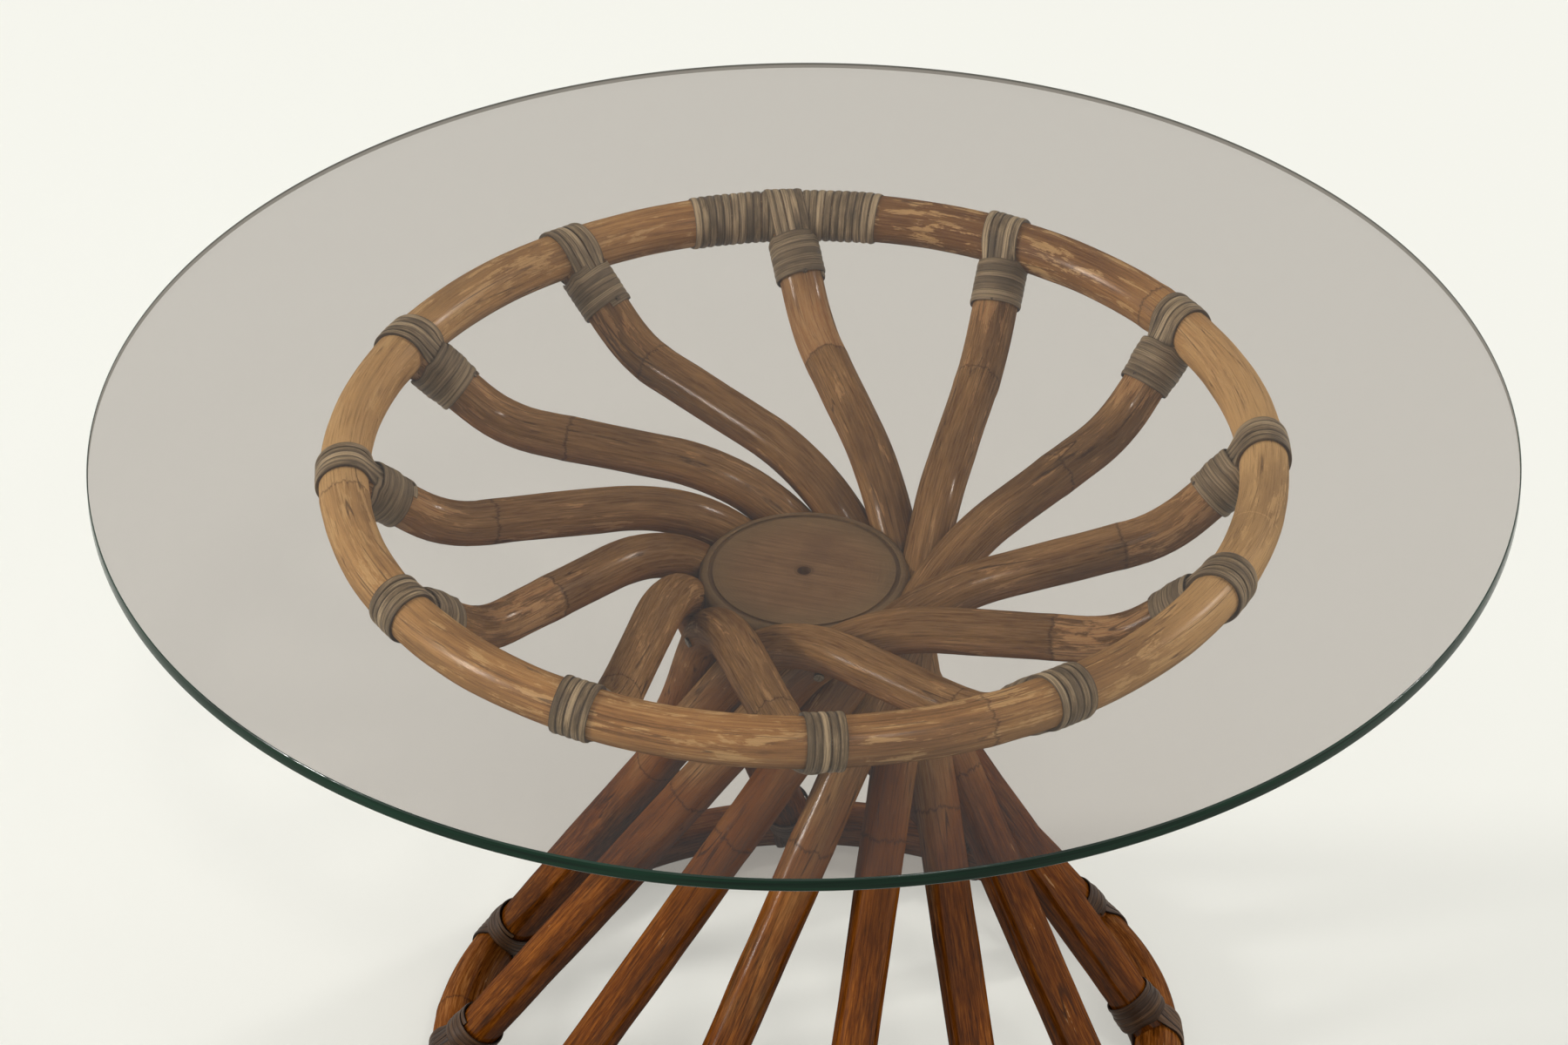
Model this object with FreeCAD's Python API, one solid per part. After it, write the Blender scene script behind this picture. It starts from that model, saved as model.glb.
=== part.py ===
import FreeCAD, Part
import math
import os

from FreeCAD import Placement, Rotation, Vector

# Round glass table on a twisted cane pedestal: millimetres, Z up, origin on the floor under the centre

# Whole table
table_height = 461.0
fit_gap = 0.3
overrun = 5.0

# Glass top, a loose disc that rests on the upper bindings
glass_radius = 400.0
glass_thickness = 8.0
glass_edge_ease = 0.8

# The two hoops, each one cane bent to a circle
top_hoop_radius = 258.0
base_hoop_radius = 211.0
hoop_bar_radius = 14.0

# Twelve poles, each one cane bent at a knee and at a shoulder, and swung clockwise as it goes down
pole_count = 12
pole_radius = 13.0
first_pole_azimuth = 182.0
knee_radius = 203.6
knee_swing = 3.6
knee_drop = 46.2
knee_bend = 68.0
shoulder_radius = 75.0
shoulder_swing = 43.6
shoulder_drop = 59.5
shoulder_bend = 116.0
foot_swing = 150.0

# Split cane of the bindings
cane_thickness = 2.2
cane_width = 4.0
cane_pitch = 4.4
strap_strips = 5
leg_thickness = 0.8
leg_share = 0.6
collar_thickness = 1.2
collar_pitch = 3.5
top_collar_turns = 7
base_collar_turns = 5
floor_flat_depth = 0.5

# Winding over the spliced ends of the top hoop, on both sides of the strap of one pole
splice_pole = 4
splice_turns = {"left": 9, "right": 7}
splice_strap_room = {"left": 17.0, "right": 20.5}

# Turned hub that the poles lean on at the waist
hub_radius = 60.0
hub_thickness = 26.0
hub_drop = 74.0
hub_edge_round = 4.0
hub_groove_radius = 53.5
hub_groove_width = 2.6
hub_groove_depth = 1.2
hub_hole_radius = 4.0
hub_hole_depth = 9.0

# Nails and pins
nail_radius = 1.2
nail_head_radius = 2.9
nail_head_height = 1.4
nail_bite = 9.0
nail_fit = 0.1
brad_reach = 45.0
brad_set = 1.5
pin_radius = 0.6
pin_head_radius = 1.7
pin_head_height = 0.8
pin_bite = 6.0
nail_height_share = 0.5

# Points of each quarter turn that the gap of a winding is measured on
gap_steps = 8

# Heights and offsets that follow from the sizes above
cane_stand = fit_gap + cane_thickness
base_hoop_height = hoop_bar_radius + cane_stand - floor_flat_depth
glass_underside = table_height - glass_thickness
top_hoop_height = glass_underside - fit_gap - cane_stand - hoop_bar_radius
hub_top = top_hoop_height - hub_drop
leg_stand = fit_gap + leg_thickness
collar_start = hoop_bar_radius + cane_stand + collar_thickness + fit_gap
collar_radius = pole_radius + leg_stand + fit_gap + collar_thickness / 2
splice_radius = hoop_bar_radius + fit_gap + cane_thickness / 2
pole_step = 360.0 / pole_count
up = Vector(0, 0, 1)
center = Vector(0, 0, 0)


def swung(radius, swing, height):
    angle = math.radians(-swing)
    return Vector(radius * math.cos(angle), radius * math.sin(angle), height)


def pole_corners():
    return [
        swung(top_hoop_radius, 0, top_hoop_height),
        swung(knee_radius, knee_swing, top_hoop_height - knee_drop),
        swung(shoulder_radius, shoulder_swing, top_hoop_height - shoulder_drop),
        swung(base_hoop_radius, foot_swing, base_hoop_height),
    ]


def rounded_path(corners, bends):
    edges = []
    start = corners[0]
    for index, bend in enumerate(bends, 1):
        corner = corners[index]
        back = (corners[index - 1] - corner).normalize()
        ahead = (corners[index + 1] - corner).normalize()
        half_turn = (math.pi - back.getAngle(ahead)) / 2
        reach = bend * math.tan(half_turn)
        crown = corner + (back + ahead).normalize() * (bend / math.cos(half_turn) - bend)
        enter = corner + back * reach
        leave = corner + ahead * reach
        edges.append(Part.LineSegment(start, enter).toShape())
        edges.append(Part.Arc(enter, crown, leave).toShape())
        start = leave
    edges.append(Part.LineSegment(start, corners[-1]).toShape())
    return edges


def tube(edges, radius):
    first = edges[0]
    start = first.valueAt(first.FirstParameter)
    heading = first.tangentAt(first.FirstParameter)
    section = Part.Wire([Part.makeCircle(radius, start, heading)])
    return Part.Wire(edges).makePipeShell([section], True, False)


def tangent_arc(start, corner, end):
    middle = (start + end) / 2
    reach = (start - corner).Length
    depth = (middle - corner).Length
    half_chord = (start - middle).Length
    crown = corner + (middle - corner).normalize() * (reach * (reach - half_chord) / depth)
    return Part.Arc(start, crown, end).toShape()


def biarc(first, second):
    start, start_heading = first
    end, end_heading = second
    span = end - start
    lean = start_heading + end_heading
    spread = lean.dot(lean) - 4
    along = span.dot(lean)
    reach = (along - math.sqrt(along * along - spread * span.dot(span))) / spread
    start_corner = start + start_heading * reach
    end_corner = end - end_heading * reach
    joint = (start_corner + end_corner) / 2
    return [tangent_arc(start, start_corner, joint), tangent_arc(joint, end_corner, end)]


def least_gap(track, turns, thickness):
    steps = 4 * gap_steps
    points = [track(step / steps)[0] for step in range(turns * steps + 1)]
    apart = steps // 2
    least = min(
        (points[far] - points[near]).Length
        for near in range(len(points))
        for far in range(near + apart, len(points))
    )
    return least - thickness


def winding(name, track, turns, thickness):
    print(name, "least gap between turns", round(least_gap(track, turns, thickness), 3))
    edges = []
    for quarter in range(4 * turns):
        edges += biarc(track(quarter / 4), track((quarter + 1) / 4))
    return tube(edges, thickness / 2)


def straight_track(start, axis, first_side):
    other_side = axis.cross(first_side)
    rise = collar_pitch / (2 * math.pi * collar_radius)

    def track(turn):
        angle = 2 * math.pi * turn
        spoke = first_side * math.cos(angle) + other_side * math.sin(angle)
        sweep = other_side * math.cos(angle) - first_side * math.sin(angle)
        place = start + axis * (collar_pitch * turn) + spoke * collar_radius
        return place, (sweep + axis * rise).normalize()

    return track


def hoop_track(start_angle):
    turn_angle = cane_pitch / top_hoop_radius

    def track(turn):
        around = start_angle + turn_angle * turn
        angle = 2 * math.pi * turn
        outward = Vector(math.cos(around), math.sin(around), 0)
        onward = up.cross(outward)
        reach = top_hoop_radius + splice_radius * math.cos(angle)
        point = outward * reach + up * (top_hoop_height + splice_radius * math.sin(angle))
        sweep = (up * math.cos(angle) - outward * math.sin(angle)) * (2 * math.pi * splice_radius)
        return point, (sweep + onward * (turn_angle * reach)).normalize()

    return track


def side_of(axis, direction):
    return (direction - axis * direction.dot(axis)).normalize()


def strap(hoop_radius, hoop_height, meeting, axis, leg_end):
    across = side_of(axis, up.cross(Vector(meeting.x, meeting.y, 0)).normalize())
    through = axis.cross(across)
    middle = Vector(0, 0, hoop_height)
    hoop_skin = Part.makeTorus(hoop_radius, hoop_bar_radius + cane_stand, middle, up)
    hoop_bed = Part.makeTorus(hoop_radius, hoop_bar_radius + fit_gap, middle, up)
    leg_skin = Part.makeCylinder(pole_radius + leg_stand, leg_end, meeting, axis)
    leg_bed = Part.makeCylinder(pole_radius + fit_gap, leg_end + overrun, meeting, axis)
    behind = hoop_bar_radius + cane_stand + overrun
    deep = 2 * (hoop_bar_radius + pole_radius)
    strips = []
    for index in range(strap_strips):
        offset = (index - (strap_strips - 1) / 2) * cane_pitch - cane_width / 2
        slab = Part.makeBox(behind + leg_end + overrun, cane_width, deep)
        corner = meeting - axis * behind + across * offset - through * (deep / 2)
        slab.Placement = Placement(corner, Rotation(axis, across, through, "XYZ"))
        strip = slab.common(hoop_skin).fuse(slab.common(leg_skin)).cut([hoop_bed, leg_bed])
        strips += strip.Solids
    return strips


def binding(name, hoop_radius, hoop_height, meeting, axis, turns):
    side = side_of(axis, up)
    leg_end = collar_start + leg_share * turns * collar_pitch
    strips = strap(hoop_radius, hoop_height, meeting, axis, leg_end)
    track = straight_track(meeting + axis * collar_start, axis, side)
    collar = winding(name, track, turns, collar_thickness)
    return strips + [collar]


def headed_nail(point, inward, shank, head):
    shank_radius, shank_length = shank
    head_radius, head_height = head
    shank = Part.makeCylinder(shank_radius, shank_length, point, inward)
    head = Part.makeCylinder(head_radius, head_height, point - inward * head_height, inward)
    return shank.fuse(head).removeSplitter()


def point_at_height(edge, height):
    low = edge.FirstParameter
    high = edge.LastParameter
    for _ in range(40):
        middle = (low + high) / 2
        if edge.valueAt(middle).z > height:
            low = middle
        else:
            high = middle
    return edge.valueAt(low), edge.tangentAt(low)


def turned(shape, azimuth):
    return shape.rotated(center, up, azimuth)


def azimuths():
    return [first_pole_azimuth - pole_step * index for index in range(pole_count)]


def ring_of(shapes):
    return Part.makeCompound([turned(shape, azimuth) for azimuth in azimuths() for shape in shapes])


def save(name, shape):
    shape.exportStep("parts/" + name + ".step")
    print(name, len(shape.Solids), "solids", round(shape.Volume), "mm3", shape.isValid())


# Path of one pole, from the centre of the top hoop's bar to the centre of the base hoop's bar
corners = pole_corners()
pole_path = rounded_path(corners, [knee_bend, shoulder_bend])
shoulder_arc = pole_path[3]
top_axis = (corners[1] - corners[0]).normalize()
base_axis = (corners[2] - corners[3]).normalize()

# Nail that goes through a pole at the waist into the hub
nail_point, pole_heading = point_at_height(shoulder_arc, hub_top - hub_thickness * nail_height_share)
nail_inward = side_of(pole_heading, Vector(-nail_point.x, -nail_point.y, 0))
nail_length = 2 * pole_radius + fit_gap + nail_bite
nail_start = nail_point - nail_inward * pole_radius
nail_head = (nail_head_radius, nail_head_height)
waist_nail = headed_nail(nail_start, nail_inward, (nail_radius, nail_length), nail_head)
waist_bore = Part.makeCylinder(nail_radius + nail_fit, nail_length + nail_fit, nail_start, nail_inward)

# Brads that go through the hoops into the ends of a pole
brad_back = hoop_bar_radius - brad_set
brad_length = brad_back + brad_reach
top_brad = Part.makeCylinder(nail_radius, brad_length, corners[0] - top_axis * brad_back, top_axis)
base_brad = Part.makeCylinder(nail_radius, brad_length, corners[3] - base_axis * brad_back, base_axis)
bore_length = hoop_bar_radius + brad_reach + overrun
bore_radius = nail_radius + nail_fit
top_bore = Part.makeCylinder(bore_radius, bore_length, corners[0] - top_axis * hoop_bar_radius, top_axis)
base_bore = Part.makeCylinder(bore_radius, bore_length, corners[3] - base_axis * hoop_bar_radius, base_axis)

# Pin between the last two turns of an upper collar
pin_side = side_of(top_axis, up)
pin_along = collar_start + collar_pitch * (top_collar_turns - 1 / 2)
pin_stand = collar_radius + collar_thickness / 2
pin_start = corners[0] + top_axis * pin_along + pin_side * pin_stand
pin_length = pin_stand - pole_radius + pin_bite
pin_head = (pin_head_radius, pin_head_height)
collar_pin = headed_nail(pin_start, -pin_side, (pin_radius, pin_length), pin_head)
pin_bore = Part.makeCylinder(pin_radius + nail_fit, pin_length + nail_fit, pin_start, -pin_side)

os.makedirs("parts", exist_ok=True)

# Glass top
glass = Part.makeCylinder(glass_radius, glass_thickness, Vector(0, 0, glass_underside), up)
save("glass_top", glass.makeChamfer(glass_edge_ease, glass.Edges))

# Hoops, bored for the brads
top_hoop = Part.makeTorus(top_hoop_radius, hoop_bar_radius, Vector(0, 0, top_hoop_height), up)
base_hoop = Part.makeTorus(base_hoop_radius, hoop_bar_radius, Vector(0, 0, base_hoop_height), up)
save("top_hoop", top_hoop.cut(ring_of([top_bore]).Solids))
save("base_hoop", base_hoop.cut(ring_of([base_bore]).Solids))

# Poles, each end hollowed to sit on its hoop
top_seat = Part.makeTorus(top_hoop_radius, hoop_bar_radius + fit_gap, Vector(0, 0, top_hoop_height), up)
base_seat = Part.makeTorus(base_hoop_radius, hoop_bar_radius + fit_gap, Vector(0, 0, base_hoop_height), up)
pole = tube(pole_path, pole_radius)
path_length = sum(edge.Length for edge in pole_path)
plain_volume = math.pi * pole_radius ** 2 * path_length
print("pole volume over section times length", round(pole.Volume / plain_volume, 5))
pole = pole.cut([top_seat, base_seat, top_bore, base_bore, waist_bore, pin_bore])
for number, azimuth in enumerate(azimuths(), 1):
    save("pole_%02d" % number, turned(pole, azimuth))

# Hub, notched where the poles lean on it
hub = Part.makeCylinder(hub_radius, hub_thickness, Vector(0, 0, hub_top - hub_thickness), up)
hub_rim = [edge for edge in hub.Edges if edge.Closed and edge.CenterOfMass.z > hub_top - hub_edge_round]
hub = hub.makeFillet(hub_edge_round, hub_rim)
groove_floor = Vector(0, 0, hub_top - hub_groove_depth)
groove_outer = Part.makeCylinder(hub_groove_radius + hub_groove_width / 2, overrun, groove_floor, up)
groove_inner = Part.makeCylinder(hub_groove_radius - hub_groove_width / 2, overrun, groove_floor, up)
hole_floor = Vector(0, 0, hub_top - hub_hole_depth)
hub_hole = Part.makeCylinder(hub_hole_radius, hub_hole_depth + overrun, hole_floor, up)
pole_room = tube(pole_path, pole_radius + fit_gap)
hub = hub.cut([groove_outer.cut(groove_inner), hub_hole])
hub = hub.cut(ring_of([pole_room, waist_bore]).Solids)
save("hub_disc", hub)

# Bindings of the poles to the hoops, the lower ones cut flat where the table stands on them
top_binding = binding("top collar", top_hoop_radius, top_hoop_height, corners[0], top_axis, top_collar_turns)
base_binding = binding(
    "base collar", base_hoop_radius, base_hoop_height, corners[3], base_axis, base_collar_turns
)
floor_width = 2 * (base_hoop_radius + hoop_bar_radius + overrun)
floor_room = Part.makeBox(
    floor_width, floor_width, floor_width, Vector(-floor_width / 2, -floor_width / 2, -floor_width)
)
base_binding = [piece.cut(floor_room) for piece in base_binding]
for number, azimuth in enumerate(azimuths(), 1):
    save("top_binding_%02d" % number, turned(Part.makeCompound(top_binding), azimuth))
    save("base_binding_%02d" % number, turned(Part.makeCompound(base_binding), azimuth))

# Windings over the splice of the top hoop
splice_middle = math.radians(azimuths()[splice_pole - 1])
for side, turns in splice_turns.items():
    length = turns * cane_pitch
    room = splice_strap_room[side]
    from_middle = room if side == "left" else -room - length
    track = hoop_track(splice_middle + from_middle / top_hoop_radius)
    save("splice_winding_" + side, winding("splice winding " + side, track, turns, cane_thickness))

# Nails, brads and pins
save("waist_nails", ring_of([waist_nail]))
save("top_brads", ring_of([top_brad]))
save("base_brads", ring_of([base_brad]))
save("collar_pins", ring_of([collar_pin]))
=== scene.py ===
import math
import random

import bpy
from mathutils import Matrix, Vector


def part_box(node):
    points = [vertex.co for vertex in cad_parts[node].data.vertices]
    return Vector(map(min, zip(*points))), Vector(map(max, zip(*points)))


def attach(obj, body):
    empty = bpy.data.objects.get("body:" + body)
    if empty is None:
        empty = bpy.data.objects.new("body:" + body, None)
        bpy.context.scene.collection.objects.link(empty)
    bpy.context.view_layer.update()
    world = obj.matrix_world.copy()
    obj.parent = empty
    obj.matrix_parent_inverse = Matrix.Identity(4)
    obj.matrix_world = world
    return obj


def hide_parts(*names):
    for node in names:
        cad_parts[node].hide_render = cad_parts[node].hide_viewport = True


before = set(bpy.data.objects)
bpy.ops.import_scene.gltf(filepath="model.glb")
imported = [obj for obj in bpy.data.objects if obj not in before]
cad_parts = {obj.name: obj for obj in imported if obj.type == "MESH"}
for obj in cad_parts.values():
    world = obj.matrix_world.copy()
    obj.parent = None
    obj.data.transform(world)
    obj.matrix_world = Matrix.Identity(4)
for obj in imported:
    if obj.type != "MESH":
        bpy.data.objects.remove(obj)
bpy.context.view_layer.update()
print("frame loaded with", len(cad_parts), "nodes")

upward = Vector((0, 0, 1))

# The camera stands where the photograph was taken from
shot = {
    "lens": 146.26,
    "sensor": 36.0,
    "place": (0.0, -2.9364, 2.483),
    "pitch": 35.35,
    "yaw": -0.22,
    "roll": -0.38,
}


def deselect():
    bpy.ops.object.select_all(action="DESELECT")


def placeCamera():
    deselect()
    bpy.ops.object.camera_add(location=shot["place"])
    camera = bpy.context.object
    camera.name = "tableCamera"
    camera.data.sensor_fit = "HORIZONTAL"
    camera.data.sensor_width = shot["sensor"]
    camera.data.lens = shot["lens"]
    pitch = math.radians(shot["pitch"])
    yaw = math.radians(shot["yaw"])
    roll = math.radians(shot["roll"])
    level = math.cos(pitch)
    ahead = Vector((math.sin(yaw) * level, math.cos(yaw) * level, -math.sin(pitch)))
    right = Vector((math.cos(yaw), -math.sin(yaw), 0))
    above = right.cross(ahead)
    leanRight = right * math.cos(roll) + above * math.sin(roll)
    leanAbove = above * math.cos(roll) - right * math.sin(roll)
    turn = Matrix((leanRight, leanAbove, -ahead)).transposed().to_4x4()
    camera.matrix_world = Matrix.Translation(shot["place"]) @ turn
    bpy.context.scene.camera = camera


placeCamera()
print("camera placed")


# Small helpers for the finishes
def paint(red, green, blue):
    def straightLight(value):  # undoes the sRGB curve
        share = value / 255
        if share <= 0.04045:
            return share / 12.92
        return ((share + 0.055) / 1.055) ** 2.4
    return (straightLight(red), straightLight(green), straightLight(blue), 1)


def newFinish(name):
    finish = bpy.data.materials.new(name)
    finish.use_nodes = True
    tree = finish.node_tree
    tree.nodes.clear()
    output = tree.nodes.new("ShaderNodeOutputMaterial")
    shader = tree.nodes.new("ShaderNodeBsdfPrincipled")
    tree.links.new(shader.outputs["BSDF"], output.inputs["Surface"])
    return finish, tree, shader


def plug(tree, socket, value):
    if isinstance(value, bpy.types.NodeSocket):
        tree.links.new(value, socket)
    else:
        socket.default_value = value


def readAttribute(tree, name):
    node = tree.nodes.new("ShaderNodeAttribute")
    node.attribute_name = name
    return node.outputs["Vector"]


def objectPlace(tree):
    return tree.nodes.new("ShaderNodeTexCoord").outputs["Object"]


def parts(tree, vector):
    node = tree.nodes.new("ShaderNodeSeparateXYZ")
    tree.links.new(vector, node.inputs[0])
    return node.outputs[0], node.outputs[1], node.outputs[2]


def noise(tree, vector, stretch, detail, rough, warp=0.0):
    mapping = tree.nodes.new("ShaderNodeMapping")
    tree.links.new(vector, mapping.inputs["Vector"])
    mapping.inputs["Scale"].default_value = stretch
    node = tree.nodes.new("ShaderNodeTexNoise")
    tree.links.new(mapping.outputs["Vector"], node.inputs["Vector"])
    node.inputs["Scale"].default_value = 1.0
    node.inputs["Detail"].default_value = detail
    node.inputs["Roughness"].default_value = rough
    node.inputs["Distortion"].default_value = warp
    return node.outputs["Fac"]


def ramp(tree, factor, spots, colours):
    node = tree.nodes.new("ShaderNodeValToRGB")
    tree.links.new(factor, node.inputs["Fac"])
    band = node.color_ramp
    while len(band.elements) < len(spots):
        band.elements.new(0.5)
    for element, spot, colour in zip(band.elements, spots, colours):
        element.position = spot
        element.color = colour
    return node.outputs["Color"]


def mix(tree, factor, first, second):
    node = tree.nodes.new("ShaderNodeMix")
    node.data_type = "RGBA"
    plug(tree, node.inputs[0], factor)
    plug(tree, node.inputs[6], first)
    plug(tree, node.inputs[7], second)
    return node.outputs[2]


def sums(tree, kind, first, second=0.0):
    node = tree.nodes.new("ShaderNodeMath")
    node.operation = kind
    plug(tree, node.inputs[0], first)
    plug(tree, node.inputs[1], second)
    return node.outputs[0]


def plus(tree, first, second):
    return sums(tree, "ADD", first, second)


def minus(tree, first, second):
    return sums(tree, "SUBTRACT", first, second)


def times(tree, first, second):
    return sums(tree, "MULTIPLY", first, second)


def span(tree, value, low, high, first=0.0, last=1.0):
    node = tree.nodes.new("ShaderNodeMapRange")
    node.interpolation_type = "SMOOTHSTEP"
    plug(tree, node.inputs["Value"], value)
    node.inputs["From Min"].default_value = low
    node.inputs["From Max"].default_value = high
    node.inputs["To Min"].default_value = first
    node.inputs["To Max"].default_value = last
    return node.outputs["Result"]


def bump(tree, shader, height, strength, depth, socket="Normal"):
    node = tree.nodes.new("ShaderNodeBump")
    node.inputs["Strength"].default_value = strength
    node.inputs["Distance"].default_value = depth
    tree.links.new(height, node.inputs["Height"])
    tree.links.new(node.outputs["Normal"], shader.inputs[socket])


def dress(tree, shader, colour, rough, shine):
    plug(tree, shader.inputs["Base Color"], colour)
    plug(tree, shader.inputs["Roughness"], rough)
    plug(tree, shader.inputs["Specular IOR Level"], shine)


def chooseShader(tree, factor, first, second):
    both = tree.nodes.new("ShaderNodeMixShader")
    tree.links.new(factor, both.inputs[0])
    tree.links.new(first.outputs["BSDF"], both.inputs[1])
    tree.links.new(second.outputs["BSDF"], both.inputs[2])
    tree.links.new(both.outputs["Shader"], tree.nodes["Material Output"].inputs["Surface"])


# In the finishes a noise is its scales, detail, roughness and warp.
# A range is two readings, and the values there where they aren't 0 and 1.
# Lacquered cane, with its streaks along the bar, worn flakes and ringed joints
poleFinish = {
    "dark": paint(48, 23, 4),
    "middle": paint(110, 57, 10),
    "light": paint(156, 91, 28),
    "worn": paint(196, 154, 104),
    "fadedDark": paint(90, 66, 39),
    "faded": paint(148, 118, 75),
    "fadedLight": paint(186, 154, 107),
    "ring": paint(42, 24, 12),
    "bands": ((210, 210, 9), 3, 0.55, 0.5),
    "strands": ((900, 900, 62), 5, 0.64, 0.3),
    "fibres": ((1500, 1500, 34), 3, 0.65),
    "torn": ((140, 140, 27), 8, 0.7, 0.35),
    "clouds": ((30, 30, 9), 3, 0.5),
    "splits": ((110, 110, 5), 1, 0.4),
    "streakShares": (0.25, 0.45, 0.3),
    "spread": 0.125,
    "ruddy": (0.46, 0.38, 0.0, 0.85),
    "darkTone": (0.0, -1.0, 0.0, 0.6),
    "pale": 0.0,
    "cloudyEnd": 0.5,
    "fade": (0.28, 0.46, 0.78, 0.0),
    # the faded colour is stronger on upper sides: partly sun fading, partly painted top light
    "fadeAndTopLightFacing": (-0.6, 0.5, 0.5, 1.0),
    "fadedStops": (0.34, 0.5, 0.66),
    "cloudShade": (0.4, 0.7, 0.0, 0.45),
    # painted shade on the undersides of the canes
    "paintedUnderShade": (0.1, -0.9, 0.0, 0.4),
    "fibreEdge": 0.007,
    "tornEdge": 0.012,
    "jointEdge": (0.0006, -0.0006),
    "tanThins": (-0.085, -0.03),
    "tanEnd": (0.2, 0.17),
    "tanTone": 0.6,
    "tanPatches": (0.88, 0.97),
    "tanShare": 0.8,
    "collarWear": (0.075, 0.05, 0.0, 0.1),
    "fibreWear": 0.1,
    "lowFlakes": (0.3, 0.42, 0.0, 0.07),
    "flakes": (0.6, 0.63, 0.0, 0.6),
    "wornStreaks": (0.35, 0.6, 0.55, 0.0),
    "fibreLines": (0.34, 0.5, 0.4, 0.0),
    "splitLine": (0.014, 0.004),
    "splitPatches": (0.46, 0.6, 0.0, 0.7),
    "ringLine": (0.0011, 0.0003),
    "ringShare": 0.5,
    "glossFibres": 0.5,
    "glossWear": 0.35,
    "rough": (0.1, 0.7, 0.36, 0.6),
    "shine": 0.0,
    "coat": 0.06,
    "coatRough": 0.13,
    "coatIor": 3.0,
    "streakHeight": 0.7,
    "fibreHeight": 0.3,
    "flakeDepth": 0.25,
    "bump": (0.55, 0.0007),
    "coatBump": (0.1, 0.0007),
}
topHoopFinish = dict(
    poleFinish,
    dark=paint(92, 58, 27),
    middle=paint(178, 130, 74),
    light=paint(206, 163, 106),
    worn=paint(217, 178, 120),
    ring=paint(64, 38, 20),
    bands=((120, 120, 4), 3, 0.55, 0.5),
    strands=((560, 560, 15), 5, 0.64, 0.3),
    spread=0.14,
    ruddy=(0.46, 0.38, 0.0, 0.0),
    pale=0.6,
    fade=(0.2, 0.4, 0.0, 0.0),
    tanEnd=(9.0, 8.97),
    collarWear=(0.001, 0.0, 0.0, 0.1),
    lowFlakes=(0.3, 0.42, 0.0, 0.0),
    flakes=(0.54, 0.57, 0.0, 0.75),
    coat=0.08,
    coatRough=0.24,
)
baseHoopFinish = dict(
    poleFinish,
    middle=paint(122, 67, 18),
    light=paint(164, 108, 54),
    flakes=(0.57, 0.6, 0.0, 0.6),
)


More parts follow.
